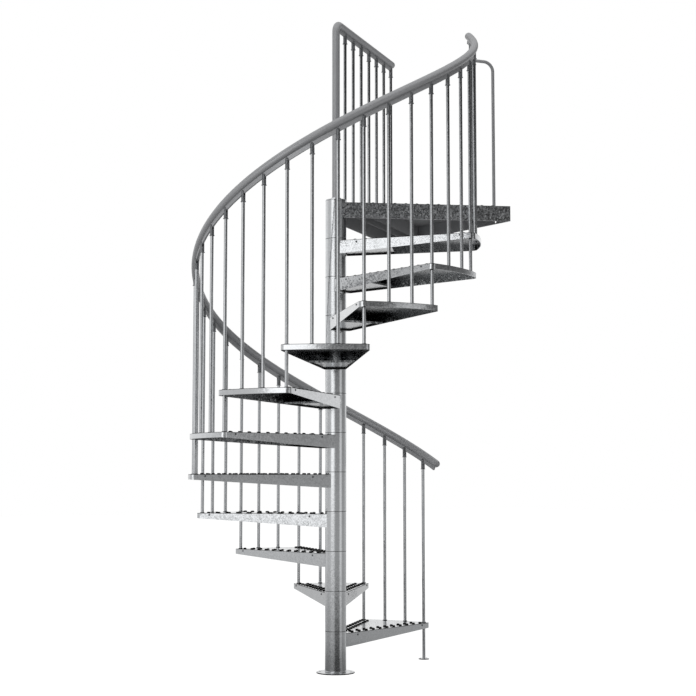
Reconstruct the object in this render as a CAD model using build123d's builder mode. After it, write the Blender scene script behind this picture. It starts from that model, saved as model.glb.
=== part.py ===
from build123d import *
from math import atan, cos, degrees, radians, sin, sqrt, tan
import os

# Spiral stair in galvanised steel. Origin at the centre of the underside of the base flange,
# +Z up, +X along the middle of the triangular landing. It climbs anticlockwise from above.

# Stair layout
tread_count = 11
first_rise = 209.7
rise = 213.7
turn = 29.0
first_tread_angle = 26.1
balusters_per_tread = 3
baluster_inset = 28.0

# Sheet and column
sheet = 3.0
column_radius = 57.5
sleeve_wall = 4.0
seam_above_tread = 13.0
flange_radius = 103.0
flange_thickness = 6.0
flange_bolt_ring = 85.0
flange_bolt_hole = 7.0
flange_bolt_count = 4
cap_thickness = 6.0

# Tread tray
tread_radius = 800.0
tread_root_half_width = 46.0
tread_corner_half_width = 227.0
tread_corner_radius = 26.0
tread_depth_inner = 72.0
tread_depth_outer = 28.0
gusset_reach = 320.0

# Landing tray
landing_half_angle = 30.1
landing_root_half_width = 60.5
landing_reach = 819.0
landing_depth = 86.0
rib_offsets = (104.0, 184.0)
rib_depth = 78.0
landing_bolt_hole = 6.5
landing_bolt_spread = 834.0
landing_bolt_rows = 60.0

# Rails: a round tube with a flat bar under it, and forked heads on the balusters
rail_radius = 21.2
rail_wall = 2.6
bar_thickness = 10.0
bar_height = 21.0
rail_height_at_first = 1184.0
rail_start_angle = 3.9
rail_end_angle = 334.0
rail_sections = 3
baluster_radius = 9.0
baluster_wall = 1.5
head_radius = 11.0
head_length = 40.0
head_overlap = 22.0
head_clearance = 0.5
collar_radius = 14.0
collar_thickness = 3.0
foot_radius = 30.0
foot_thickness = 5.0

# Guard beside the landing
guard_height = 1026.0
guard_bend = 50.0
guard_length = 878.0
guard_first_baluster = 131.5
guard_baluster_pitch = 122.0
guard_baluster_count = 7
post_socket = 140.0

# Closing rod at the head of the stair
rod_below_collar = 40.0
rod_clearance = 106.0
rod_reach = tread_radius + rod_clearance
rod_bend = 55.0
rod_inset = 30.0
connector_radius = 13.0
connector_length = 30.0

# Places that follow from the sizes above
step = turn / balusters_per_tread
first_baluster_angle = first_tread_angle - turn / 2
baluster_count = tread_count * balusters_per_tread + 1
baluster_ring = tread_radius - baluster_inset
landing_top = first_rise + rise * tread_count
column_top = landing_top + seam_above_tread
rail_pitch = rise * 360 / turn
rail_slope = atan(rise / (baluster_ring * radians(turn)))
bar_bottom = rail_radius + bar_height
bar_drop = bar_bottom / cos(rail_slope)
guard_line = landing_top + guard_height
guard_angle = landing_half_angle


def polar(radius, angle, height=0.0):
    return Vector(radius * cos(radians(angle)), radius * sin(radians(angle)), height)


def tread_top(level):
    return first_rise + rise * (level - 1)


def baluster_angle(index):
    return first_baluster_angle + step * index


def rail_axis_height(angle):
    return rail_height_at_first + rise * (angle - first_baluster_angle) / turn


def save(part, name):
    part.label = name
    export_step(part, f"parts/{name}.step")


os.makedirs("parts", exist_ok=True)

# Base flange, bolted to the floor
with BuildPart() as base_flange:
    Cylinder(flange_radius, flange_thickness, align=(Align.CENTER, Align.CENTER, Align.MIN))
    with PolarLocations(flange_bolt_ring, flange_bolt_count, start_angle=45):
        Hole(flange_bolt_hole)
save(base_flange.part, "base_flange")

# Column: one sleeve for each rise, each ending just above its tread
for level in range(1, tread_count + 2):
    bottom = flange_thickness if level == 1 else tread_top(level - 1) + seam_above_tread
    with BuildPart(Plane.XY.offset(bottom)) as sleeve:
        height = tread_top(level) + seam_above_tread - bottom
        Cylinder(column_radius, height, align=(Align.CENTER, Align.CENTER, Align.MIN))
        Cylinder(
            column_radius - sleeve_wall,
            height,
            align=(Align.CENTER, Align.CENTER, Align.MIN),
            mode=Mode.SUBTRACT,
        )
    save(sleeve.part, f"column_sleeve_{level:02d}")

# Cap on the top sleeve, with the guard post passing through it
with BuildPart(Plane.XY.offset(column_top)) as column_cap:
    Cylinder(column_radius, cap_thickness, align=(Align.CENTER, Align.CENTER, Align.MIN))
    Cylinder(rail_radius, cap_thickness, align=(Align.CENTER, Align.CENTER, Align.MIN), mode=Mode.SUBTRACT)
save(column_cap.part, "column_cap")

# Tread: a folded sheet tray, deeper at the column, with a closing plate under its inner part
tread_corner_x = sqrt(tread_radius**2 - tread_corner_half_width**2)
tread_flare = (tread_corner_half_width - tread_root_half_width) / tread_corner_x
flare_angle = degrees(atan(tread_flare))


def tread_outline(inset):
    side = tread_root_half_width - inset / cos(radians(flare_angle))
    radius = tread_radius - inset
    a = 1 + tread_flare**2
    b = side * tread_flare
    corner_x = (sqrt(b**2 - a * (side**2 - radius**2)) - b) / a
    corner_y = side + tread_flare * corner_x
    with BuildSketch() as outline:
        with BuildLine():
            Polyline((corner_x, -corner_y), (0, -side), (0, side), (corner_x, corner_y))
            ThreePointArc((corner_x, corner_y), (radius, 0), (corner_x, -corner_y))
        make_face()
        fillet(outline.vertices().sort_by(Axis.X)[-2:], tread_corner_radius - inset)
    return outline.sketch


taper_start = (column_radius, -tread_depth_inner)
taper_end = (tread_radius - tread_corner_radius, -tread_depth_outer)
taper = (taper_end[1] - taper_start[1]) / (taper_end[0] - taper_start[0])
gusset_end = -tread_depth_inner + taper * (gusset_reach - column_radius)

with BuildPart() as gusset:
    with BuildSketch(Plane.XZ):
        with BuildLine():
            Polyline(
                (0, -tread_depth_inner),
                taper_start,
                (gusset_reach, gusset_end),
                (gusset_reach, gusset_end + sheet),
                (taper_start[0], taper_start[1] + sheet),
                (0, -tread_depth_inner + sheet),
                close=True,
            )
        make_face()
    extrude(amount=tread_radius, both=True)
    add(extrude(tread_outline(sheet), amount=-tread_depth_inner, mode=Mode.PRIVATE), mode=Mode.INTERSECT)

with BuildPart() as tread_form:
    add(tread_outline(0))
    extrude(amount=-tread_depth_inner)
    with BuildSketch(Plane.XY.offset(-sheet)):
        add(tread_outline(sheet))
    extrude(amount=-tread_depth_inner, mode=Mode.SUBTRACT)
    with BuildSketch(Plane.XZ):
        with BuildLine():
            Polyline(
                taper_start,
                taper_end,
                (tread_radius + sheet, -tread_depth_outer),
                (tread_radius + sheet, -tread_depth_inner - sheet),
                (taper_start[0], -tread_depth_inner - sheet),
                close=True,
            )
        make_face()
    extrude(amount=tread_radius, both=True, mode=Mode.SUBTRACT)
    add(gusset.part)
    Cylinder(column_radius, 4 * tread_depth_inner, mode=Mode.SUBTRACT)
    with Locations(polar(baluster_ring, -turn / 2)):
        Cylinder(baluster_radius, 4 * sheet, mode=Mode.SUBTRACT)

for level in range(1, tread_count + 1):
    place = Location((0, 0, tread_top(level)), (0, 0, first_tread_angle + turn * (level - 1)))
    with BuildPart() as tread:
        with Locations(place):
            add(tread_form.part)
    save(tread.part, f"tread_{level:02d}")


# Landing: a triangular tray with a folded edge all round and two stiffeners under the deck
def landing_outline(inset):
    half = radians(landing_half_angle)
    side = landing_root_half_width - inset / cos(half)
    reach = landing_reach - inset
    corner_y = side + reach * tan(half)
    with BuildSketch() as outline:
        with BuildLine():
            Polyline((0, -side), (reach, -corner_y), (reach, corner_y), (0, side), close=True)
        make_face()
    return outline.sketch


last_angle = baluster_angle(baluster_count - 1)
with BuildPart() as landing_tray:
    with BuildSketch(Plane.XY.offset(landing_top)):
        add(landing_outline(0))
    extrude(amount=-landing_depth)
    with BuildSketch(Plane.XY.offset(landing_top - sheet)):
        add(landing_outline(sheet))
    extrude(amount=-landing_depth, mode=Mode.SUBTRACT)
    with Locations((0, 0, landing_top)):
        Cylinder(column_radius, 4 * landing_depth, mode=Mode.SUBTRACT)
    with Locations(polar(baluster_ring, last_angle, landing_top)):
        Cylinder(baluster_radius, 4 * sheet, mode=Mode.SUBTRACT)
    with Locations(Location((landing_reach, 0, landing_top - landing_depth / 2), (0, 90, 0))):
        with GridLocations(landing_bolt_rows, landing_bolt_spread, 2, 2):
            Cylinder(landing_bolt_hole, 4 * sheet, mode=Mode.SUBTRACT)
save(landing_tray.part, "landing_tray")

with BuildPart() as landing_ribs:
    with BuildSketch(Plane.XY.offset(landing_top - sheet)):
        add(landing_outline(sheet))
    extrude(amount=-rib_depth)
    with BuildSketch(Plane.XY.offset(landing_top)):
        for offset_in in rib_offsets:
            middle = polar(offset_in, landing_half_angle - 90)
            with Locations(Location(middle, (0, 0, landing_half_angle))):
                Rectangle(3 * landing_reach, sheet)
    extrude(amount=-2 * rib_depth, mode=Mode.INTERSECT)
    with Locations((0, 0, landing_top)):
        Cylinder(column_radius, 4 * landing_depth, mode=Mode.SUBTRACT)
save(landing_ribs.part, "landing_ribs")


# Balusters: tubes on the baluster ring, the joint ones tie each tread to the next
def baluster_tubes(places):
    with BuildPart() as tubes:
        for spot, bottom, top in places:
            with BuildSketch(Plane(origin=(spot.X, spot.Y, bottom))):
                Circle(baluster_radius)
                Circle(baluster_radius - baluster_wall, mode=Mode.SUBTRACT)
            extrude(amount=top - bottom)
    return tubes.part


def stair_baluster(index, bottom):
    angle = baluster_angle(index)
    top = rail_axis_height(angle) - bar_drop - baluster_radius
    return polar(baluster_ring, angle), bottom, top


joint_places = [
    stair_baluster(index, foot_thickness if index == 0 else tread_top(index // balusters_per_tread))
    for index in range(0, baluster_count, balusters_per_tread)
]
save(baluster_tubes(joint_places), "joint_balusters")

for row, name in ((1, "leading_balusters"), (2, "trailing_balusters")):
    row_places = [
        stair_baluster(level * balusters_per_tread + row, tread_top(level + 1)) for level in range(tread_count)
    ]
    save(baluster_tubes(row_places), name)

guard_spots = [
    polar(guard_first_baluster + guard_baluster_pitch * index, guard_angle) for index in range(guard_baluster_count)
]
guard_places = [
    (spot, landing_top, guard_line - bar_bottom - baluster_radius) for spot in guard_spots
]
save(baluster_tubes(guard_places), "guard_balusters")

with BuildPart() as foot_disc:
    with Locations(polar(baluster_ring, first_baluster_angle)):
        Cylinder(foot_radius, foot_thickness, align=(Align.CENTER, Align.CENTER, Align.MIN))
save(foot_disc.part, "foot_disc")


# Heads: a sleeve with a collar over each baluster, forked to straddle the bar under the rail
def baluster_heads(places, slope):
    reach = head_radius * tan(slope)
    floor = -reach - head_clearance
    with BuildPart() as heads:
        for spot, angle, height in places:
            with Locations(Location((spot.X, spot.Y, height), (0, 0, angle))):
                with Locations((0, 0, head_overlap - head_radius)):
                    Sphere(head_radius)
                with Locations((0, 0, -head_length)):
                    Cylinder(
                        head_radius,
                        head_length + head_overlap - head_radius,
                        align=(Align.CENTER, Align.CENTER, Align.MIN),
                    )
                    Cylinder(collar_radius, collar_thickness, align=(Align.CENTER, Align.CENTER, Align.MIN))
                    Cylinder(
                        baluster_radius,
                        head_length - baluster_radius,
                        align=(Align.CENTER, Align.CENTER, Align.MIN),
                        mode=Mode.SUBTRACT,
                    )
                with Locations((0, 0, floor)):
                    Box(
                        bar_thickness + 2 * head_clearance,
                        3 * head_radius,
                        head_length,
                        align=(Align.CENTER, Align.CENTER, Align.MIN),
                        mode=Mode.SUBTRACT,
                    )
    return heads.part


stair_head_places = [
    (polar(baluster_ring, baluster_angle(index)), baluster_angle(index), rail_axis_height(baluster_angle(index)) - bar_drop)
    for index in range(baluster_count)
]
save(baluster_heads(stair_head_places, rail_slope), "stair_baluster_heads")
guard_head_places = [(spot, guard_angle + 90, guard_line - bar_bottom) for spot in guard_spots]
save(baluster_heads(guard_head_places, 0.0), "guard_baluster_heads")


# Handrail: tube and bar follow one helix, in sections that butt together
with BuildSketch() as tube_profile:
    Circle(rail_radius)
    Circle(rail_radius - rail_wall, mode=Mode.SUBTRACT)

half_bar = bar_thickness / 2
shoulder = sqrt(rail_radius**2 - half_bar**2)
with BuildSketch() as bar_profile:
    with BuildLine():
        ThreePointArc((-half_bar, shoulder), (0, rail_radius), (half_bar, shoulder))
        Polyline((half_bar, shoulder), (half_bar, bar_bottom), (-half_bar, bar_bottom), (-half_bar, shoulder))
    make_face()


def along_helix(profile, start, end):
    path = Edge.make_helix(rail_pitch, rail_pitch * (end - start) / 360, baluster_ring)
    path = path.rotate(Axis.Z, start).moved(Location((0, 0, rail_axis_height(start))))
    with BuildPart() as swept:
        with BuildSketch(Plane(origin=path @ 0, x_dir=polar(1, start), z_dir=path % 0)):
            add(profile)
        sweep(path=path, is_frenet=True)
    return swept.part


section_turn = (rail_end_angle - rail_start_angle) / rail_sections
for section in range(rail_sections):
    section_start = rail_start_angle + section_turn * section
    section_end = section_start + section_turn
    save(along_helix(tube_profile.sketch, section_start, section_end), f"handrail_{section + 1}")
    save(along_helix(bar_profile.sketch, section_start, section_end), f"handrail_bar_{section + 1}")

# Guard post and rail: one tube, bent over at the top
guard_direction = polar(1, guard_angle)
guard_corner = Vector(0, 0, guard_line)
guard_end = guard_corner + guard_direction * guard_length
with BuildPart() as guard_post_rail:
    with BuildLine() as guard_path:
        FilletPolyline((0, 0, column_top - post_socket), guard_corner, guard_end, radius=guard_bend)
    with BuildSketch(Plane(origin=(0, 0, column_top - post_socket))):
        add(tube_profile.sketch)
    sweep(path=guard_path.line)
save(guard_post_rail.part, "guard_post_rail")

bar_origin = guard_corner + guard_direction * guard_bend
with BuildPart() as guard_bar:
    with BuildSketch(Plane(origin=bar_origin, x_dir=polar(1, guard_angle - 90), z_dir=guard_direction)):
        add(bar_profile.sketch)
    extrude(amount=guard_length - guard_bend)
save(guard_bar.part, "guard_bar")


# Domed end caps on the three open rail ends
with BuildPart() as dome:
    Sphere(rail_radius, arc_size1=0, align=(Align.CENTER, Align.CENTER, Align.MIN))


rail_start = polar(baluster_ring, rail_start_angle, rail_axis_height(rail_start_angle))
rail_end = polar(baluster_ring, rail_end_angle, rail_axis_height(rail_end_angle))
start_direction = polar(cos(rail_slope), rail_start_angle - 90, -sin(rail_slope))
end_direction = polar(cos(rail_slope), rail_end_angle + 90, sin(rail_slope))
with BuildPart() as rail_end_caps:
    for origin, direction in (
        (rail_start, start_direction),
        (rail_end, end_direction),
        (guard_end, guard_direction),
    ):
        with Locations(Plane(origin=origin, z_dir=direction).location):
            add(dome.part)
save(rail_end_caps.part, "rail_end_caps")

# Closing rod between the last baluster and the landing
rod_line = rail_axis_height(last_angle) - bar_drop - head_length - rod_below_collar
rod_plan = polar(rod_reach, last_angle) + polar(rod_inset, last_angle + 90)
rod_foot = rod_plan + Vector(0, 0, landing_top)
rod_corner = rod_plan + Vector(0, 0, rod_line)
rod_start = polar(baluster_ring, last_angle, rod_line)
rod_direction = (rod_corner - rod_start).normalized()
rod_begin = rod_start + rod_direction * connector_radius
with BuildPart() as closing_rod:
    with BuildLine() as rod_path:
        FilletPolyline(rod_begin, rod_corner, rod_foot, radius=rod_bend)
    with BuildSketch(Plane(origin=rod_begin, z_dir=rod_direction)):
        Circle(baluster_radius)
        Circle(baluster_radius - baluster_wall, mode=Mode.SUBTRACT)
    sweep(path=rod_path.line)
save(closing_rod.part, "closing_rod")

with BuildPart() as rod_connector:
    with Locations(rod_start):
        Cylinder(connector_radius, connector_length)
        Cylinder(baluster_radius, connector_length, mode=Mode.SUBTRACT)
    with BuildSketch(Plane(origin=rod_begin, z_dir=rod_direction)):
        Circle(baluster_radius)
    extrude(amount=connector_radius, mode=Mode.SUBTRACT)
save(rod_connector.part, "rod_connector")
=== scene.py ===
# %% [markdown]
# A spiral stair kit in hot-dip galvanised steel, dressed for a plain studio picture. The stair's
# solids come from the CAD frame in metres. This file gives every solid its finish, rounds the folded
# sheets, and adds what is too small for the solids: slip studs, bolts, washers, collars and screws.

# %% Load the frame
import bpy
import bmesh
from math import cos, exp, radians, sin, sqrt, tan
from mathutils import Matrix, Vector


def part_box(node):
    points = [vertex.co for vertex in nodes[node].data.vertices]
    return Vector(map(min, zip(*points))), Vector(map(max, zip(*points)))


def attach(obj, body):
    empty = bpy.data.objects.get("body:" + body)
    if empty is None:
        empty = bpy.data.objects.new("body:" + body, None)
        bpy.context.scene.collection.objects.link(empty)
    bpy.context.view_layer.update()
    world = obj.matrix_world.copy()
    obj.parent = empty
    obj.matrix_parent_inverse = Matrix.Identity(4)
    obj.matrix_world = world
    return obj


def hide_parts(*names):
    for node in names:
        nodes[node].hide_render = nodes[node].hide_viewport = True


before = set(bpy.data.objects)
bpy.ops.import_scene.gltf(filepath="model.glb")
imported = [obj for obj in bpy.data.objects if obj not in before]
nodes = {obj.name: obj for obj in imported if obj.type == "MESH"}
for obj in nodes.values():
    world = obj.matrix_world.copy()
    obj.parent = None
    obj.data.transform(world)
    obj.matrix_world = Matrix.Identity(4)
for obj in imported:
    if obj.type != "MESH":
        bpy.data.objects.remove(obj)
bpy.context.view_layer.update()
print("solids in the frame:", len(nodes))

# %% [markdown]
# The stair turns evenly, so a few angles and radii give every place on it. Heights are read from
# the solids. A tread is described along its own middle line, x outwards from the column, y across.

# %% Sizes of the stair
MM = 0.001
TREADS = 11
TURN = 29.0
FIRST_TREAD_ANGLE = 26.1
BALUSTERS_PER_TREAD = 3
BALUSTER_RING = 0.772
BALUSTER_RADIUS = 9 * MM
SHEET = 3 * MM
COLUMN_RADIUS = 57.5 * MM
TREAD_RADIUS = 0.8
TREAD_ROOT_HALF_WIDTH = 0.046
TREAD_CORNER_HALF_WIDTH = 0.227
LANDING_HALF_ANGLE = 30.1
LANDING_ROOT_HALF_WIDTH = 0.0605
STEP = TURN / BALUSTERS_PER_TREAD
FIRST_BALUSTER_ANGLE = FIRST_TREAD_ANGLE - TURN / 2
UP = Vector((0, 0, 1))
DOWN = -UP


def polar(radius, angle, height=0.0):
    return Vector((radius * cos(radians(angle)), radius * sin(radians(angle)), height))


def tread_angle(level):
    return FIRST_TREAD_ANGLE + TURN * (level - 1)


def tread_top(level):
    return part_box(f"tread_{level:02d}")[1].z


def on_tread(level, x, y, height=0.0):
    along = polar(1, tread_angle(level))
    across = polar(1, tread_angle(level) + 90)
    return along * x + across * y + UP * (tread_top(level) + height)


landing_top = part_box("landing_tray")[1].z
print("landing height:", round(landing_top, 4))

# %% [markdown]
# The camera stands where the photographer's did, worked out from the column, the balusters and
# the tread edges. It is nearly eight metres off, a little above hip height, and looks up slightly.

# %% Camera
CAMERA_DISTANCE = 7.7917
CAMERA_HEIGHT = 1.0405
CAMERA_AZIMUTH = 36.9
CAMERA_YAW = 0.493
CAMERA_PITCH = 5.248
SENSOR = 36.0
FRAME_PIXELS = 696
FOCAL_PIXELS = 1423.35


def studio_direction(angle):
    """Level direction seen from the stair: 0 points at the camera, 90 to the picture's right."""
    to_camera = Vector((-sin(radians(CAMERA_AZIMUTH)), -cos(radians(CAMERA_AZIMUTH)), 0))
    to_right = Vector((cos(radians(CAMERA_AZIMUTH)), -sin(radians(CAMERA_AZIMUTH)), 0))
    return to_camera * cos(radians(angle)) + to_right * sin(radians(angle))


camera_data = bpy.data.cameras.new("camera")
camera_data.sensor_width = SENSOR
camera_data.lens = FOCAL_PIXELS / FRAME_PIXELS * SENSOR
camera = bpy.data.objects.new("camera", camera_data)
camera.location = studio_direction(0) * CAMERA_DISTANCE + UP * CAMERA_HEIGHT
camera.rotation_euler = (radians(90 + CAMERA_PITCH), 0, -radians(CAMERA_AZIMUTH + CAMERA_YAW))
bpy.context.scene.collection.objects.link(camera)
bpy.context.scene.camera = camera
bpy.context.scene.view_settings.view_transform = "Standard"
print("lens in mm:", round(camera_data.lens, 2))

# %% [markdown]
# A material is a graph of nodes. Three helpers build all of them: one turns a paint-shop hex colour
# into the linear numbers that the shader wants, one adds any node with its settings and links, and one
# starts an empty material.

# %% Helpers for materials


def linear(hex_colour):
    channels = [int(hex_colour[i : i + 2], 16) / 255 for i in (1, 3, 5)]
    return tuple(c / 12.92 if c <= 0.04045 else ((c + 0.055) / 1.055) ** 2.4 for c in channels) + (1.0,)


def add_node(tree, kind, inputs=None, **settings):
    made = tree.nodes.new(kind)
    for name, value in settings.items():
        setattr(made, name, value)
    for socket, value in (inputs or {}).items():
        if isinstance(value, bpy.types.NodeSocket):
            tree.links.new(value, made.inputs[socket])
        else:
            made.inputs[socket].default_value = value
    return made


def new_material(name):
    material = bpy.data.materials.new(name)
    material.use_nodes = True
    material.node_tree.nodes.clear()
    return material, material.node_tree


print("mid grey in linear light:", round(linear("#808080")[0], 3))

# %% [markdown]
# Hot-dip galvanising leaves zinc crystals, the spangle, a few millimetres across. Each crystal
# faces its own way, so a plate that mirrors something bright looks even, and one that mirrors
# something dark is peppered with light grains. Voronoi cells stand for the crystals: each cell
# tilts the surface a little and has its own shade and roughness. A slow noise adds the cloudy
# patches where the zinc ran off thicker.

# %% Galvanised steel


def galvanised(name, pale, dark, spangle, tilt, rough, cloud=0.06):
    material, tree = new_material(name)
    place = add_node(tree, "ShaderNodeTexCoord").outputs["Object"]
    crystals = add_node(tree, "ShaderNodeTexVoronoi", {"Vector": place, "Scale": 1 / spangle})
    shade = add_node(tree, "ShaderNodeRGBToBW", {0: crystals.outputs["Color"]}).outputs[0]
    patches = add_node(tree, "ShaderNodeTexNoise", {"Vector": place, "Scale": 1 / cloud, "Detail": 4.0})
    mixed = add_node(tree, "ShaderNodeMath", {0: shade, 1: patches.outputs["Fac"]}, operation="MULTIPLY")
    tone = add_node(
        tree,
        "ShaderNodeMapRange",
        {"Value": mixed.outputs[0], "From Min": 0.1, "From Max": 0.42, "To Min": 0.0, "To Max": 1.0},
    )
    colour = add_node(
        tree, "ShaderNodeMix", {0: tone.outputs[0], 6: linear(dark), 7: linear(pale)}, data_type="RGBA"
    )
    roughness = add_node(
        tree,
        "ShaderNodeMapRange",
        {"Value": shade, "From Min": 0.15, "From Max": 0.85, "To Min": rough[0], "To Max": rough[1]},
    )
    centred = add_node(
        tree, "ShaderNodeVectorMath", {0: crystals.outputs["Color"], 1: (0.5, 0.5, 0.5)}, operation="SUBTRACT"
    )
    facing = add_node(tree, "ShaderNodeNewGeometry").outputs["Normal"]
    leaning = add_node(
        tree,
        "ShaderNodeVectorMath",
        {0: centred.outputs[0], 1: (tilt, tilt, tilt), 2: facing},
        operation="MULTIPLY_ADD",
    )
    normal = add_node(tree, "ShaderNodeVectorMath", {0: leaning.outputs[0]}, operation="NORMALIZE")
    shader = add_node(
        tree,
        "ShaderNodeBsdfPrincipled",
        {
            "Base Color": colour.outputs[2],
            "Metallic": 1.0,
            "Roughness": roughness.outputs[0],
            "Normal": normal.outputs[0],
        },
    )
    add_node(tree, "ShaderNodeOutputMaterial", {0: shader.outputs[0]})
    return material


# Folded sheet: bright fresh zinc with a 6 mm spangle that shows in the dark reflections
galvanised_sheet = galvanised("galvanised_sheet", "#D0D2D4", "#C8CACC", 6 * MM, 0.08, (0.1, 0.18))
# Column sleeves: the same bath on thick tube, a little smoother
galvanised_column = galvanised("galvanised_column", "#D0D2D4", "#C6C8CA", 6 * MM, 0.03, (0.12, 0.18))
# Inside of the trays: duller and coarser zinc, its darker colour painted shade for the shade inside them
galvanised_painted_shade_inside = galvanised("galvanised_painted_shade_inside", "#ACAEAF", "#86888A", 7 * MM, 0.22, (0.16, 0.3))
# Landing tray: it hangs in front of the dark end of the studio, where the grains stand out most
galvanised_landing = galvanised("galvanised_landing", "#DADCDE", "#C4C6C8", 7 * MM, 0.22, (0.12, 0.22))
# Balusters: drawn tube with a tight spangle, so each one splits into a light and a dark side
galvanised_baluster = galvanised("galvanised_baluster", "#BEC0C2", "#B0B2B4", 5 * MM, 0.06, (0.1, 0.16))
# Die-cast heads and collars: darker zinc alloy with an as-cast skin
cast_zinc = galvanised("cast_zinc_alloy", "#8E9092", "#6E7072", 3 * MM, 0.25, (0.35, 0.5))
# Zinc-plated screws and bolts: thin bright plating over machined steel
plated_steel = galvanised("zinc_plated_fastener", "#B4B6BA", "#8C8E92", 2 * MM, 0.12, (0.22, 0.34))
print("galvanised finishes:", 7)

# %% [markdown]
# The handrail shows no spangle: it is tube under a satin grey lacquer with metal flakes in it.
# Half of its light comes back like paint and half like soft metal, so the finish is mixed with
# metallic 0.5. A slow noise varies the shade and a fine one gives the lacquer its orange peel.

# %% Satin lacquer for the rails
SHADE_CLOUDS = 90 * MM
ORANGE_PEEL = 3 * MM


def satin_lacquer(name, pale, dark, rough, metallic):
    material, tree = new_material(name)
    place = add_node(tree, "ShaderNodeTexCoord").outputs["Object"]
    clouds = add_node(tree, "ShaderNodeTexNoise", {"Vector": place, "Scale": 1 / SHADE_CLOUDS, "Detail": 3.0})
    grain = add_node(tree, "ShaderNodeTexNoise", {"Vector": place, "Scale": 1 / ORANGE_PEEL, "Detail": 2.0})
    colour = add_node(
        tree, "ShaderNodeMix", {0: clouds.outputs["Fac"], 6: linear(dark), 7: linear(pale)}, data_type="RGBA"
    )
    roughness = add_node(
        tree,
        "ShaderNodeMapRange",
        {
            "Value": grain.outputs["Fac"],
            "From Min": 0.3,
            "From Max": 0.7,
            "To Min": rough[0],
            "To Max": rough[1],
        },
    )
    relief = add_node(
        tree, "ShaderNodeBump", {"Strength": 0.15, "Distance": 0.2 * MM, "Height": grain.outputs["Fac"]}
    )
    shader = add_node(
        tree,
        "ShaderNodeBsdfPrincipled",
        {
            "Base Color": colour.outputs[2],
            "Metallic": metallic,
            "Roughness": roughness.outputs[0],
            "Normal": relief.outputs[0],
        },
    )
    add_node(tree, "ShaderNodeOutputMaterial", {0: shader.outputs[0]})
    return material


rail_lacquer = satin_lacquer("satin_grey_lacquer", "#A4A5A7", "#9A9B9D", (0.4, 0.48), 0.5)
print("lacquer:", rail_lacquer.name)

# %% [markdown]
# Some surfaces are dull: the cut edges of the sheets and the gaps beside the gussets, dark as painted
# shade, the dark folds along the tops, the painted underside of the landing and the black slip studs.
# None of them mirrors much, so they keep a low gloss, and a fine noise breaks them up.

# %% Dull edges with painted shade, landing paint and black studs
DULL_GLOSS = 0.2


def dull_coat(name, pale, dark, roughness, grit, depth):
    material, tree = new_material(name)
    place = add_node(tree, "ShaderNodeTexCoord").outputs["Object"]
    grain = add_node(tree, "ShaderNodeTexNoise", {"Vector": place, "Scale": 1 / grit, "Detail": 3.0})
    colour = add_node(
        tree, "ShaderNodeMix", {0: grain.outputs["Fac"], 6: linear(dark), 7: linear(pale)}, data_type="RGBA"
    )
    relief = add_node(
        tree, "ShaderNodeBump", {"Strength": 0.4, "Distance": depth, "Height": grain.outputs["Fac"]}
    )
    shader = add_node(
        tree,
        "ShaderNodeBsdfPrincipled",
        {
            "Base Color": colour.outputs[2],
            "Roughness": roughness,
            "Specular IOR Level": DULL_GLOSS,
            "Normal": relief.outputs[0],
        },
    )
    add_node(tree, "ShaderNodeOutputMaterial", {0: shader.outputs[0]})
    return material


# Cut sheet edges and the gaps between plates: painted shade, dark grey as if hardly any light reached them
painted_shade_edge = dull_coat("painted_shade_cut_edge", "#222324", "#161718", 0.65, 6 * MM, 0.15 * MM)
# Underside of the landing: a flat pale grey paint that lies in shade
landing_coat = dull_coat("landing_underside_paint", "#B6B7B9", "#A4A5A7", 0.6, 8 * MM, 0.15 * MM)
# Folds along the top of a tray, coloured dark
dull_fold = dull_coat("dull_zinc_fold", "#2E2F30", "#1E1F20", 0.5, 4 * MM, 0.1 * MM)
# Slip studs and foot washers, coloured black
black_stud_finish = dull_coat("black_stud_coat", "#151515", "#0A0A0A", 0.6, 2 * MM, 0.1 * MM)
print("dull finishes:", 4)

# %% [markdown]
# Every solid gets its finish. The balusters, the rails, the closing rod and their fittings stay as
# they are and only have their material changed. The other solids are sheet, plate or thick tube, and
# each of them is shown by a rounded copy further down.

# %% Finishes on the solids
FINISHES = {
    galvanised_baluster: ("joint_balusters", "leading_balusters", "trailing_balusters", "guard_balusters"),
    cast_zinc: ("rod_connector", "stair_baluster_heads", "guard_baluster_heads"),
    rail_lacquer: (
        "closing_rod",
        "handrail_1",
        "handrail_2",
        "handrail_3",
        "handrail_bar_1",
        "handrail_bar_2",
        "handrail_bar_3",
        "guard_post_rail",
        "guard_bar",
        "rail_end_caps",
    ),
}


def set_materials(mesh, *materials):
    mesh.materials.clear()
    for material in materials:
        mesh.materials.append(material)


for node in nodes.values():
    set_materials(node.data, galvanised_sheet)
for finish, names in FINISHES.items():
    for name in names:
        set_materials(nodes[name].data, finish)
print("solids that stay as they are:", sum(len(names) for names in FINISHES.values()))

# %% [markdown]
# Each added piece is a plain mesh in metres, and its object stays at the origin, unturned and
# unscaled. It rides on the one body of the stair.

# %% Helper for the added pieces


def add_piece(name, mesh):
    piece = bpy.data.objects.new(name, mesh)
    bpy.context.scene.collection.objects.link(piece)
    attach(piece, "root")
    return piece


# %% [markdown]
# A folded sheet never has a knife edge. The sheets and the sleeves are therefore shown by a copy
# whose edges are rounded. A modifier could bevel them, but bmesh can pick the edges: it takes every
# edge sharper than 40 degrees. The cut edges of a sheet are found by their width, one sheet thick.

# %% Edges of a sheet
SHARP = radians(40)
BEVEL_STEPS = 3
CUT_EDGE_WIDTH = 1.4 * SHEET
FACES_DOWN = -0.4
FACES_COLUMN = -0.8


def sharp_edges(bm):
    return [e for e in bm.edges if len(e.link_faces) == 2 and e.calc_face_angle(0) > SHARP]


def bevel_edges(bm, edges, radius, slot=-1):
    """Rounds the edges. The new faces take a material slot, or that of their neighbours."""
    bmesh.ops.bevel(
        bm,
        geom=edges,
        offset=radius,
        offset_type="OFFSET",
        segments=BEVEL_STEPS,
        profile=0.5,
        affect="EDGES",
        clamp_overlap=True,
        material=slot,
    )


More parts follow.
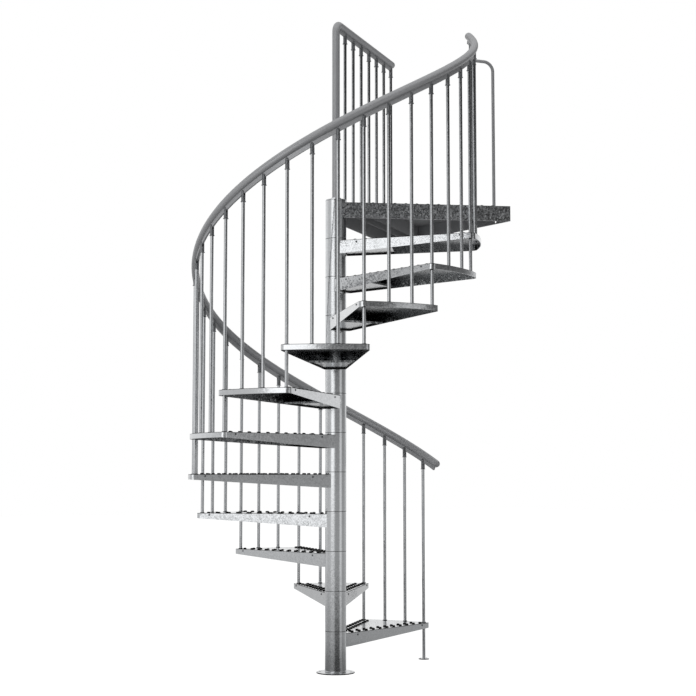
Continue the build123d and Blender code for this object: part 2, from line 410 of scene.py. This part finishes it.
def is_cut_edge(face):
    """True for the narrow faces, one sheet thick, that face down or towards the column."""
    width = face.calc_area() / max(e.calc_length() for e in face.edges)
    middle = face.calc_center_median()
    outwards = Vector((middle.x, middle.y, 0)).normalized()
    looks_away = face.normal.z < FACES_DOWN or face.normal.dot(outwards) < FACES_COLUMN
    return width < CUT_EDGE_WIDTH and looks_away


print("widest cut edge in mm:", round(CUT_EDGE_WIDTH / MM, 1))

# %% [markdown]
# Under its root each tread has a gusset, a wide plate welded between the two side plates. The photo
# shows a thin black line under it, so it sits a little up between them. Its lower face is parted
# from the rims of the side plates, inset by one sheet thickness and lifted, and its upper face with
# it. The slanted faces left round it are the gap, coloured dark as painted shade.

# %% Gusset set back between the side plates
GUSSET_RECESS = 8 * MM
GUSSET_REACH = 0.32
BELOW_TREAD_TOP = 20 * MM
MOSTLY_LEVEL = 0.5
SAME_POINT = 0.01 * MM


def recess_gusset(bm, level):
    """Lifts the gusset of a tread and gives the faces round it."""
    along = polar(1, tread_angle(level))
    deep = [f for f in bm.faces if f.calc_center_median().z < tread_top(level) - BELOW_TREAD_TOP]
    over = max((f for f in deep if f.normal.z > MOSTLY_LEVEL), key=lambda f: f.calc_area())
    under = max((f for f in deep if f.normal.z < -MOSTLY_LEVEL), key=lambda f: f.calc_area())
    for vert in over.verts:
        vert.co.z += GUSSET_RECESS
    region = [under, *under.edges, *under.verts]
    cut = bmesh.ops.bisect_plane(
        bm, geom=region, dist=2 * SAME_POINT, plane_co=along * GUSSET_REACH, plane_no=along
    )
    parts = [f for f in cut["geom"] if isinstance(f, bmesh.types.BMFace)]
    plate = max(parts, key=lambda f: f.calc_area())
    return bmesh.ops.inset_individual(bm, faces=[plate], thickness=SHEET, depth=-GUSSET_RECESS)["faces"]


print("gussets set back in mm:", round(GUSSET_RECESS / MM))

# %% [markdown]
# The copy starts from the triangles of the solid. They are merged at their corners and dissolved
# into flat areas, so that only true edges are left. A tray has four finishes: outside, inside (on the
# treads darker as painted shade), dark top folds and cut edges in painted shade. The normal of a face
# tells whether it looks at a point inside the tray.
# Weighted normals then keep the flat faces flat to the light.

# %% Rounded copies of the sheet parts
FLAT = radians(0.5)
SAME_HEIGHT = 0.1 * MM
FOLD_RADIUS = 4 * MM
SHORTEST_FOLD = 2 * MM
SHEET_EDGE = 0.9 * MM
RIB_EDGE = 0.6 * MM
SLEEVE_EDGE = 1.2 * MM
CAP_EDGE = 0.8 * MM
DISC_EDGE = 1.0 * MM
TREAD_MIDDLE = 0.4
LANDING_MIDDLE = 0.5
INSIDE_DEPTH = 15 * MM
FACES_UP = 0.8
OUTSIDE, INSIDE, FOLD, CUT = range(4)
# in the order of the four slots
TRAY_FINISHES = (galvanised_sheet, galvanised_painted_shade_inside, dull_fold, painted_shade_edge)
LANDING_FINISHES = (galvanised_landing, landing_coat, dull_fold, painted_shade_edge)


def finish_tray(bm, name, inside_point):
    """Sorts the faces of a tray by finish and rounds the folds along its top."""
    gap_faces = recess_gusset(bm, int(name[-2:])) if name.startswith("tread") else []
    # faces that look into a tread's tray take its darker inside finish as painted shade; the gap round the
    # gusset and the cut edges take the dark painted shade
    for face in bm.faces:
        looks_in = face.normal.dot(inside_point - face.calc_center_median()) > 0
        face.material_index = INSIDE if looks_in else OUTSIDE
        if face in gap_faces or is_cut_edge(face):
            face.material_index = CUT
    top = max(v.co.z for v in bm.verts)
    folds = [e for e in sharp_edges(bm) if min(v.co.z for v in e.verts) > top - SAME_HEIGHT]
    bevel_edges(bm, [e for e in folds if e.calc_length() > SHORTEST_FOLD], FOLD_RADIUS, FOLD)


def rounded_copy(name, radius, materials, inside_point=None, painted_shade_edges=False, painted_shade_rim=False):
    """Replaces a node by a copy with rounded edges. Its second material is the inside one or the painted
    shade on edges and rims.
    """
    mesh = nodes[name].data.copy()
    bm = bmesh.new()
    bm.from_mesh(mesh)
    bmesh.ops.remove_doubles(bm, verts=bm.verts, dist=SAME_POINT)
    bmesh.ops.dissolve_limit(bm, angle_limit=FLAT, verts=bm.verts, edges=bm.edges)
    for face in bm.faces:
        face.material_index = 0
    if inside_point is not None:
        finish_tray(bm, name, inside_point)
    bevel_edges(bm, sharp_edges(bm), radius, 1 if painted_shade_edges else -1)
    for face in bm.faces:
        face.smooth = True
        # faces that do not look up take the second material, painted shade on the rim
        if painted_shade_rim and face.normal.z < FACES_UP:
            face.material_index = 1
    set_materials(mesh, *materials)
    bm.to_mesh(mesh)
    bm.free()
    mesh.set_sharp_from_angle(angle=SHARP)
    piece = add_piece(name + "_rounded", mesh)
    piece.modifiers.new("flat faces", "WEIGHTED_NORMAL").keep_sharp = True
    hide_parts(name)


for level in range(1, TREADS + 1):
    tread_inside = on_tread(level, TREAD_MIDDLE, 0, -INSIDE_DEPTH)
    rounded_copy(f"tread_{level:02d}", SHEET_EDGE, TRAY_FINISHES, tread_inside)
landing_inside = Vector((LANDING_MIDDLE, 0, landing_top - INSIDE_DEPTH))
rounded_copy("landing_tray", SHEET_EDGE, LANDING_FINISHES, landing_inside)
rounded_copy("landing_ribs", RIB_EDGE, (landing_coat,))
# the rounded edges of the sleeves take the dark edge finish, painted shade where the sleeves meet
for level in range(1, TREADS + 2):
    rounded_copy(f"column_sleeve_{level:02d}", SLEEVE_EDGE, (galvanised_column, painted_shade_edge), painted_shade_edges=True)
rounded_copy("column_cap", CAP_EDGE, (galvanised_column,))
# the sides and undersides of the flange and the foot disc carry painted shade
rounded_copy("base_flange", SLEEVE_EDGE, (galvanised_column, painted_shade_edge), painted_shade_rim=True)
rounded_copy("foot_disc", DISC_EDGE, (galvanised_baluster, painted_shade_edge), painted_shade_rim=True)

# %% [markdown]
# Studs, bolts and screws are all a disc with a head on it, repeated hundreds of times. One
# Geometry Nodes tree draws such a piece from named sizes, sets one on each point of a mesh, and
# turns it to the direction stored on the point. Real sizes go in through the modifier's inputs.

# %% A tree for every fastener
DISC_SIDES = 16
ROUND_HEAD = 12
HEXAGON = 6
FASTENER_SIZES = (
    "Disc radius",
    "Disc thickness",
    "Head radius",
    "Head height",
    "Crown radius",
    "Crown height",
)


def fastener_tree(name, material):
    tree = bpy.data.node_groups.new(name, "GeometryNodeTree")
    tree.interface.new_socket("Points", in_out="INPUT", socket_type="NodeSocketGeometry")
    for size in FASTENER_SIZES:
        tree.interface.new_socket(size, in_out="INPUT", socket_type="NodeSocketFloat")
    tree.interface.new_socket("Head sides", in_out="INPUT", socket_type="NodeSocketInt")
    tree.interface.new_socket("Fasteners", in_out="OUTPUT", socket_type="NodeSocketGeometry")
    given = add_node(tree, "NodeGroupInput").outputs
    disc = add_node(
        tree,
        "GeometryNodeMeshCone",
        {
            "Vertices": DISC_SIDES,
            "Radius Top": given["Disc radius"],
            "Radius Bottom": given["Disc radius"],
            "Depth": given["Disc thickness"],
        },
    )
    head = add_node(
        tree,
        "GeometryNodeMeshCone",
        {
            "Vertices": given["Head sides"],
            "Radius Top": given["Head radius"],
            "Radius Bottom": given["Head radius"],
            "Depth": given["Head height"],
        },
    )
    crown = add_node(
        tree,
        "GeometryNodeMeshCone",
        {
            "Vertices": given["Head sides"],
            "Radius Top": given["Crown radius"],
            "Radius Bottom": given["Head radius"],
            "Depth": given["Crown height"],
        },
    )
    on_disc = add_node(tree, "ShaderNodeCombineXYZ", {"Z": given["Disc thickness"]})
    lift = add_node(tree, "ShaderNodeMath", {0: given["Disc thickness"], 1: given["Head height"]})
    on_head = add_node(tree, "ShaderNodeCombineXYZ", {"Z": lift.outputs[0]})
    raised_head = add_node(
        tree, "GeometryNodeTransform", {"Geometry": head.outputs["Mesh"], "Translation": on_disc.outputs[0]}
    )
    raised_crown = add_node(
        tree, "GeometryNodeTransform", {"Geometry": crown.outputs["Mesh"], "Translation": on_head.outputs[0]}
    )
    whole = add_node(tree, "GeometryNodeJoinGeometry")
    for part in (disc.outputs["Mesh"], raised_head.outputs[0], raised_crown.outputs[0]):
        tree.links.new(part, whole.inputs[0])
    facing = add_node(tree, "GeometryNodeInputNamedAttribute", {"Name": "facing"}, data_type="FLOAT_VECTOR")
    turned = add_node(tree, "FunctionNodeAlignRotationToVector", {"Vector": facing.outputs[0]}, axis="Z")
    placed = add_node(
        tree,
        "GeometryNodeInstanceOnPoints",
        {"Points": given["Points"], "Instance": whole.outputs[0], "Rotation": turned.outputs[0]},
    )
    real = add_node(tree, "GeometryNodeRealizeInstances", {0: placed.outputs[0]})
    finished = add_node(tree, "GeometryNodeSetMaterial", {"Geometry": real.outputs[0], "Material": material})
    add_node(tree, "NodeGroupOutput", {0: finished.outputs[0]})
    return tree


def fasten(name, tree, places, sizes, sides):
    """Sets one fastener at each place, a point and a direction, with its sizes in millimetres."""
    points = bpy.data.meshes.new(name + "_points")
    points.from_pydata([tuple(point) for point, _ in places], [], [])
    facing = points.attributes.new("facing", "FLOAT_VECTOR", "POINT")
    facing.data.foreach_set("vector", [value for _, direction in places for value in direction])
    source = bpy.data.objects.new(name + "_points", points)
    bpy.context.scene.collection.objects.link(source)
    modifier = source.modifiers.new("fasteners", "NODES")
    modifier.node_group = tree
    given = {item.name: item.identifier for item in tree.interface.items_tree if item.in_out == "INPUT"}
    for size, value in zip(FASTENER_SIZES, sizes):
        modifier[given[size]] = value * MM
    modifier[given["Head sides"]] = sides
    depsgraph = bpy.context.evaluated_depsgraph_get()
    mesh = bpy.data.meshes.new_from_object(source.evaluated_get(depsgraph), depsgraph=depsgraph)
    mesh.name = name
    bpy.data.objects.remove(source)
    mesh.polygons.foreach_set("use_smooth", [sides > HEXAGON] * len(mesh.polygons))
    mesh.set_sharp_from_angle(angle=SHARP)
    add_piece(name, mesh)
    print(name, len(places), "pieces,", len(mesh.polygons), "faces")


black_stud_tree = fastener_tree("black_studs", black_stud_finish)
plated_tree = fastener_tree("plated_fasteners", plated_steel)
cast_tree = fastener_tree("cast_fasteners", cast_zinc)

# %% [markdown]
# Two staggered rows of slip studs follow each side edge of a tread, 28 and 66 mm in, and the
# middle stays smooth. In the photo they are the black beads along the top edge of each tread.
# The landing gets the same rows along its two side edges. A stud that would meet the column or the
# foot of a corner baluster is left out.

# %% Slip studs
STUD_PITCH = 61.5 * MM
STUD_ROWS = ((28 * MM, 0.112), (66 * MM, 0.087))
STUD_SIZES = (9.4, 1.2, 8.6, 3.8, 5.6, 1.8)
TREAD_END_GAP = 55 * MM
LANDING_END_GAP = 40 * MM
COLUMN_GAP = 12 * MM
FOOT_GAP = 24 * MM
tread_corner_x = sqrt(TREAD_RADIUS**2 - TREAD_CORNER_HALF_WIDTH**2)
tread_flare = (TREAD_CORNER_HALF_WIDTH - TREAD_ROOT_HALF_WIDTH) / tread_corner_x
landing_flare = tan(radians(LANDING_HALF_ANGLE))
landing_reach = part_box("landing_tray")[1].x


def stud_spots(root, flare, reach):
    """Places of the studs beside both edges, in the tray's own x and y."""
    lean = sqrt(1 + flare**2)
    spots = []
    for inset, start in STUD_ROWS:
        for side in (-1, 1):
            x = start
            while x < reach:
                y = root + flare * x - inset * lean
                if sqrt(x * x + y * y) > COLUMN_RADIUS + COLUMN_GAP:
                    spots.append((x, side * y))
                x += STUD_PITCH / lean
    return spots


studs = []
for level in range(1, TREADS + 1):
    corner_angles = [tread_angle(level) - TURN / 2, tread_angle(level) + TURN / 2]
    corners = [polar(BALUSTER_RING, angle, tread_top(level)) for angle in corner_angles]
    for x, y in stud_spots(TREAD_ROOT_HALF_WIDTH, tread_flare, TREAD_RADIUS - TREAD_END_GAP):
        spot = on_tread(level, x, y)
        if min((spot - corner).length for corner in corners) > FOOT_GAP:
            studs.append((spot, UP))
for x, y in stud_spots(LANDING_ROOT_HALF_WIDTH, landing_flare, landing_reach - LANDING_END_GAP):
    studs.append((Vector((x, y, landing_top)), UP))
fasten("slip_studs", black_stud_tree, studs, STUD_SIZES, ROUND_HEAD)

# %% [markdown]
# Each baluster is held by a bolt that comes up through the sheet of its tread, three balusters to a
# tread. Below the sheet a plated washer and a hexagon head show.

# %% Bolts under the balusters
BOLT_SIZES = (12.0, 2.0, 7.5, 5.0, 6.5, 0.8)

feet = []
for level in range(1, TREADS + 1):
    for step in range(1, BALUSTERS_PER_TREAD + 1):
        angle = FIRST_BALUSTER_ANGLE + STEP * (BALUSTERS_PER_TREAD * (level - 1) + step)
        feet.append(polar(BALUSTER_RING, angle, tread_top(level)))
under_treads = [(foot - UP * SHEET, DOWN) for foot in feet]
fasten("baluster_bolts", plated_tree, under_treads, BOLT_SIZES, HEXAGON)

# %% [markdown]
# Rings round a tube are made by turning a small section with one chamfer, one helper for all of
# them: black washers round the feet of the balusters, on the treads and on the landing, collars where
# the joint balusters pass through the next tread, and the collar round the guard post.

# %% Rings round the tubes
RING_SIDES = 20
RING_CLEARANCE = 0.15 * MM
CHAMFER_SHARE = 0.3
WASHER_RADIUS, WASHER_HEIGHT = 13 * MM, 3 * MM
JOINT_COLLAR_RADIUS, JOINT_COLLAR_HEIGHT = 14 * MM, 4 * MM
POST_RADIUS = 21.2 * MM
POST_COLLAR_RADIUS, POST_COLLAR_HEIGHT = 30 * MM, 12 * MM
GUARD_BALUSTERS = 7
GUARD_FIRST = 0.1315
GUARD_PITCH = 0.122


def spun_ring(name, places, tube_radius, outer, height, material):
    """One closed ring at each place, standing on it, with a small chamfer on its top edge."""
    bm = bmesh.new()
    inner = tube_radius + RING_CLEARANCE
    chamfer = min(height, outer - inner) * CHAMFER_SHARE
    section = (
        (inner, 0.0),
        (outer, 0.0),
        (outer, height - chamfer),
        (outer - chamfer, height),
        (inner, height),
    )
    for place in places:
        loops = []
        for k in range(RING_SIDES):
            turn = 360 * k / RING_SIDES
            loops.append([bm.verts.new(place + polar(r, turn, z)) for r, z in section])
        for k in range(RING_SIDES):
            near, far = loops[k], loops[(k + 1) % RING_SIDES]
            for i in range(len(section)):
                j = (i + 1) % len(section)
                bm.faces.new((near[i], far[i], far[j], near[j])).smooth = True
    bmesh.ops.recalc_face_normals(bm, faces=bm.faces)
    mesh = bpy.data.meshes.new(name)
    bm.to_mesh(mesh)
    bm.free()
    mesh.set_sharp_from_angle(angle=SHARP)
    set_materials(mesh, material)
    add_piece(name, mesh)
    print(name, len(places), "rings")


guard_radii = [GUARD_FIRST + GUARD_PITCH * k for k in range(GUARD_BALUSTERS)]
guard_feet = [polar(radius, LANDING_HALF_ANGLE, landing_top) for radius in guard_radii]
spun_ring("foot_washers", feet + guard_feet, BALUSTER_RADIUS, WASHER_RADIUS, WASHER_HEIGHT, black_stud_finish)
joint_heights = [tread_top(level) for level in range(1, TREADS + 1)] + [landing_top]
through = [polar(BALUSTER_RING, FIRST_BALUSTER_ANGLE + TURN * k, z) for k, z in enumerate(joint_heights)]
spun_ring("joint_collars", through, BALUSTER_RADIUS, JOINT_COLLAR_RADIUS, JOINT_COLLAR_HEIGHT, cast_zinc)
cap_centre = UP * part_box("column_cap")[1].z
spun_ring("post_collar", [cap_centre], POST_RADIUS, POST_COLLAR_RADIUS, POST_COLLAR_HEIGHT, galvanised_column)

# %% [markdown]
# The last fasteners are three countersunk screws in the foot disc, bolts under the guard's balusters,
# and two small screws in each side plate of a tread: one clamps it to the sleeve, the other ties its
# outer end.

# %% Foot screws, guard bolts and side screws
FOOT_SCREWS = 3
FOOT_SCREW_RING = 20.5 * MM
FOOT_SCREW_SIZES = (4.5, 0.4, 3.6, 0.8, 2.2, 0.8)
SIDE_SCREW_SIZES = (5.5, 0.6, 4.5, 1.4, 2.6, 1.2)
# place along the tread, depth below its top
SIDE_SCREWS = ((0.122, 14 * MM), (0.69, 10 * MM))

foot_centre = polar(BALUSTER_RING, FIRST_BALUSTER_ANGLE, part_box("foot_disc")[1].z)
foot_screw_angles = [360 / FOOT_SCREWS * k for k in range(FOOT_SCREWS)]
foot_screws = [(foot_centre + polar(FOOT_SCREW_RING, angle), UP) for angle in foot_screw_angles]
fasten("foot_screws", plated_tree, foot_screws, FOOT_SCREW_SIZES, ROUND_HEAD)

under_landing = [(foot - UP * SHEET, DOWN) for foot in guard_feet]
fasten("guard_bolts", plated_tree, under_landing, BOLT_SIZES, HEXAGON)

side_screws = []
for level in range(1, TREADS + 1):
    along = polar(1, tread_angle(level))
    for side in (-1, 1):
        outward = (polar(1, tread_angle(level) + side * 90) - along * tread_flare).normalized()
        for x, drop in SIDE_SCREWS:
            y = side * (TREAD_ROOT_HALF_WIDTH + tread_flare * x)
            side_screws.append((on_tread(level, x, y, -drop), outward))
fasten("side_screws", cast_tree, side_screws, SIDE_SCREW_SIZES, ROUND_HEAD)

# %% [markdown]
# The photo has a white floor without seams and white surroundings. Lamps bright enough for that would
# burn out the rails, so floor and world glow by themselves, but only for the camera and for
# mirror-like rays. Matt light meets a grey floor, so the stair's shadow still shows softly on it.

# %% Floor and world
FLOOR_SIZE = 60.0
FLOOR_GLOW = 0.93
FLOOR_COLOUR = "#8F8F8F"
WHITE = (1, 1, 1, 1)
WORLD_LIGHT = 0.5
WORLD_SEEN = 1.0


def seen_directly(tree):
    """One for camera, mirror-like and see-through rays, nought for matt light."""
    ray = add_node(tree, "ShaderNodeLightPath").outputs
    seen = ray["Is Camera Ray"]
    for kind in ("Is Glossy Ray", "Is Transmission Ray"):
        seen = add_node(tree, "ShaderNodeMath", {0: seen, 1: ray[kind]}, operation="MAXIMUM").outputs[0]
    return seen


def stage_mesh(name, corners, faces, material):
    """A mesh of the studio, which is no part of the stair."""
    mesh = bpy.data.meshes.new(name)
    mesh.from_pydata([tuple(corner) for corner in corners], [], faces)
    mesh.materials.append(material)
    piece = bpy.data.objects.new(name, mesh)
    bpy.context.scene.collection.objects.link(piece)
    return piece


floor_material, tree = new_material("pale_floor")
glow_level = add_node(tree, "ShaderNodeMath", {0: seen_directly(tree), 1: FLOOR_GLOW}, operation="MULTIPLY")
glow = add_node(tree, "ShaderNodeEmission", {"Color": WHITE, "Strength": glow_level.outputs[0]})
matt = add_node(tree, "ShaderNodeBsdfDiffuse", {"Color": linear(FLOOR_COLOUR)})
both = add_node(tree, "ShaderNodeAddShader", {0: glow.outputs[0], 1: matt.outputs[0]})
add_node(tree, "ShaderNodeOutputMaterial", {0: both.outputs[0]})
half = FLOOR_SIZE / 2
floor_corners = [(-half, -half, 0), (half, -half, 0), (half, half, 0), (-half, half, 0)]
stage_mesh("floor", floor_corners, [(0, 1, 2, 3)], floor_material)

world = bpy.data.worlds.new("studio")
bpy.context.scene.world = world
world.use_nodes = True
tree = world.node_tree
tree.nodes.clear()
strength = add_node(
    tree, "ShaderNodeMapRange", {"Value": seen_directly(tree), "To Min": WORLD_LIGHT, "To Max": WORLD_SEEN}
)
sky = add_node(tree, "ShaderNodeBackground", {"Color": WHITE, "Strength": strength.outputs[0]})
add_node(tree, "ShaderNodeOutputWorld", {0: sky.outputs[0]})
print("floor in metres:", FLOOR_SIZE)

# %% [markdown]
# Bare metal is drawn by what it mirrors, so the studio matters as much as the finish. The stair
# stands in a light tent that only mirror-like rays see. Its floor and walls glow a little, with one
# broad soft light left of the camera, one narrow one to its right and fainter ones beyond them. The
# right-hand side stays dark up to seven metres, and the roof is pale, so tread tops look light from
# above. The tones come from the photo: the column mirrors the whole tent from side to side.

# %% Tones of the light tent
TENT_RADIUS = 10.5
ROOF_TONE = 0.9
# tone of the tent's floor near the column, tone far from it and on the wall
LEFT_TONES = (0.36, 0.62)
RIGHT_TONES = (0.12, 0.46)
# tone of the floor behind the stair, tone of the wall there
BACK_TONES = (0.6, 1.0)
# metres from the column over which near turns into far
NEAR_TO_FAR = (1.5, 8)
# azimuths in degrees over which the left turns into the right, and both of them into the back
FRONT_SEAM = (-16, 0)
BACK_SEAM = (118, 150)
# the upper left wall is dark: heights and azimuths over which it darkens, and by how much
LEFT_DARK_HEIGHTS = (4.8, 6.5)
LEFT_DARK_AZIMUTHS = (-95, -60)
LEFT_DARK_SHARE = 0.9
# the right wall fades with height, and the floor beside the stair is lighter near the column
RIGHT_FADE = 3.0
RIGHT_FLOOR_AZIMUTHS = (40, 95)
RIGHT_FLOOR_TONE = 0.28
RIGHT_WALL_TONE = 0.03
RIGHT_WALL_RISE = (0, 2)
# the back is as light as its wall near the column and from two metres up, and fades near the roof
BACK_NEAR = 2
BACK_RISE = (0.2, 2.0)
BACK_FADE = (5, 8)
BACK_FADE_SHARE = 0.7
ROOF_RISE = (7, 11)
# the floor close to the column lies in its shade
SHADED_FLOOR = (0.3, 1.6)
SHADE_TONES = (0.5, 1.0)
# the height at which the floor catches the soft lights
FLOOR_LEVEL = -0.5
# azimuth, half width in degrees, edge power, height, half height in metres, strength
SOFT_LIGHTS = (
    (-33, 19, 6, 3.3, 3.0, 0.88),
    (-48, 26, 2, 2.7, 3.0, 0.2),
    (56, 14, 4, 1.7, 3.0, 0.48),
    (-125, 32, 2, 4.5, 4.5, 0.4),
    (140, 25, 2, 1.6, 2.2, 0.3),
)


def bell(distance, width, power=2):
    return exp(-(abs(distance / width) ** power))


def ramp(value, low, high):
    share = min(max((value - low) / (high - low), 0), 1)
    return share * share * (3 - 2 * share)


def blend(tones, share):
    return tones[0] + (tones[1] - tones[0]) * share


def tent_glow(azimuth, radius, height):
    """Brightness of the tent at one place."""
    far = ramp(radius, *NEAR_TO_FAR)
    upper_left = ramp(height, *LEFT_DARK_HEIGHTS) * ramp(azimuth, *LEFT_DARK_AZIMUTHS)
    left = blend(LEFT_TONES, far) * (1 - LEFT_DARK_SHARE * upper_left)
    right = blend(RIGHT_TONES, far) * bell(height, RIGHT_FADE)
    right += RIGHT_FLOOR_TONE * (1 - far) * ramp(azimuth, *RIGHT_FLOOR_AZIMUTHS)
    right += RIGHT_WALL_TONE * ramp(height, *RIGHT_WALL_RISE)
    back = blend(BACK_TONES, max(bell(radius, BACK_NEAR), ramp(height, *BACK_RISE)))
    back *= 1 - BACK_FADE_SHARE * ramp(height, *BACK_FADE)
    behind = ramp(abs(azimuth), *BACK_SEAM)
    front = blend((left, right), ramp(azimuth, *FRONT_SEAM))
    tone = blend((front, back), behind)
    level = height if radius == TENT_RADIUS else FLOOR_LEVEL
    for centre, width, edge, middle, spread, strength in SOFT_LIGHTS:
        light = bell(azimuth - centre, width, edge) * bell(level - middle, spread, 4)
        tone += strength * light * (1 - behind)
    tone = max(tone, ROOF_TONE * ramp(height, *ROOF_RISE))
    return tone * blend(SHADE_TONES, ramp(radius, *SHADED_FLOOR))


print("tone behind the camera at 1.5 m:", round(tent_glow(0, TENT_RADIUS, 1.5), 2))

# %% [markdown]
# The tent is one mesh of rings: a floor, just above the real one, a round wall and a roof. The tone
# of each corner is stored as a colour attribute, which the cloth's shader reads and gives off.

# %% Light tent for the metal
TENT_FLOOR_RADII = (0.02, 0.7, 1.5, 2.6, 4.5, 6.5, 8.5)
TENT_HEIGHTS = (0, 0.5, 1, 1.5, 2, 2.5, 3, 3.5, 4, 4.5, 5, 5.5, 6, 7, 8, 9.5, 12)
TENT_STEPS = 180
ABOVE_FLOOR = 2 * MM

tent_material, tree = new_material("tent_cloth")
glow = add_node(tree, "ShaderNodeAttribute", attribute_name="glow")
cloth = add_node(tree, "ShaderNodeEmission", {"Color": glow.outputs["Color"], "Strength": 1.0})
add_node(tree, "ShaderNodeOutputMaterial", {0: cloth.outputs[0]})

azimuths = [-180 + 360 * k / TENT_STEPS for k in range(TENT_STEPS)]
tent_points = []
tent_tones = []
tent_rings = [(radius, 0) for radius in TENT_FLOOR_RADII]
tent_rings += [(TENT_RADIUS, height) for height in TENT_HEIGHTS]
for radius, height in tent_rings:
    for azimuth in azimuths:
        tent_points.append(studio_direction(azimuth) * radius + UP * (height + ABOVE_FLOOR))
        tent_tones.append(tent_glow(azimuth, radius, height))
tent_faces = []
for ring in range(len(tent_rings) - 1):
    for k in range(TENT_STEPS):
        here, beside = ring * TENT_STEPS + k, ring * TENT_STEPS + (k + 1) % TENT_STEPS
        tent_faces.append((here, beside, beside + TENT_STEPS, here + TENT_STEPS))
roof = len(tent_points)
tent_points.append(UP * TENT_HEIGHTS[-1])
tent_tones.append(ROOF_TONE)
last_ring = roof - TENT_STEPS
tent_faces += [(last_ring + k, last_ring + (k + 1) % TENT_STEPS, roof) for k in range(TENT_STEPS)]
tent = stage_mesh("light_tent", tent_points, tent_faces, tent_material)
tone_layer = tent.data.attributes.new("glow", "FLOAT_COLOR", "POINT")
tone_layer.data.foreach_set("color", [value for tone in tent_tones for value in (tone, tone, tone, 1.0)])
tent.visible_camera = False
tent.visible_diffuse = False
tent.visible_shadow = False
print("tent tones from", round(min(tent_tones), 2), "to", round(max(tent_tones), 2))

# %% [markdown]
# The dull pieces, such as the studs, the landing's paint and the lacquer of the rails, are lit by two
# soft lamps from the sides of the tent's two main lights. The zinc mirrors the tent instead, so these
# lamps are kept out of all reflections.

# %% Lamps for the dull pieces
LAMP_TARGET = UP * 1.6


def soft_lamp(name, azimuth, distance, height, width, tall, watts):
    lamp_data = bpy.data.lights.new(name, "AREA")
    lamp_data.shape = "RECTANGLE"
    lamp_data.size = width
    lamp_data.size_y = tall
    lamp_data.energy = watts
    lamp = bpy.data.objects.new(name, lamp_data)
    lamp.location = studio_direction(azimuth) * distance + UP * height
    lamp.rotation_euler = (LAMP_TARGET - lamp.location).to_track_quat("-Z", "Y").to_euler()
    lamp.visible_camera = False
    lamp.visible_glossy = False
    bpy.context.scene.collection.objects.link(lamp)


soft_lamp("broad_left_lamp", azimuth=-30, distance=8.5, height=4.5, width=5.0, tall=5.0, watts=380.0)
soft_lamp("narrow_right_lamp", azimuth=60, distance=9.0, height=3.5, width=1.5, tall=5.0, watts=90.0)
print("lamps for the dull pieces:", len(bpy.data.lights))
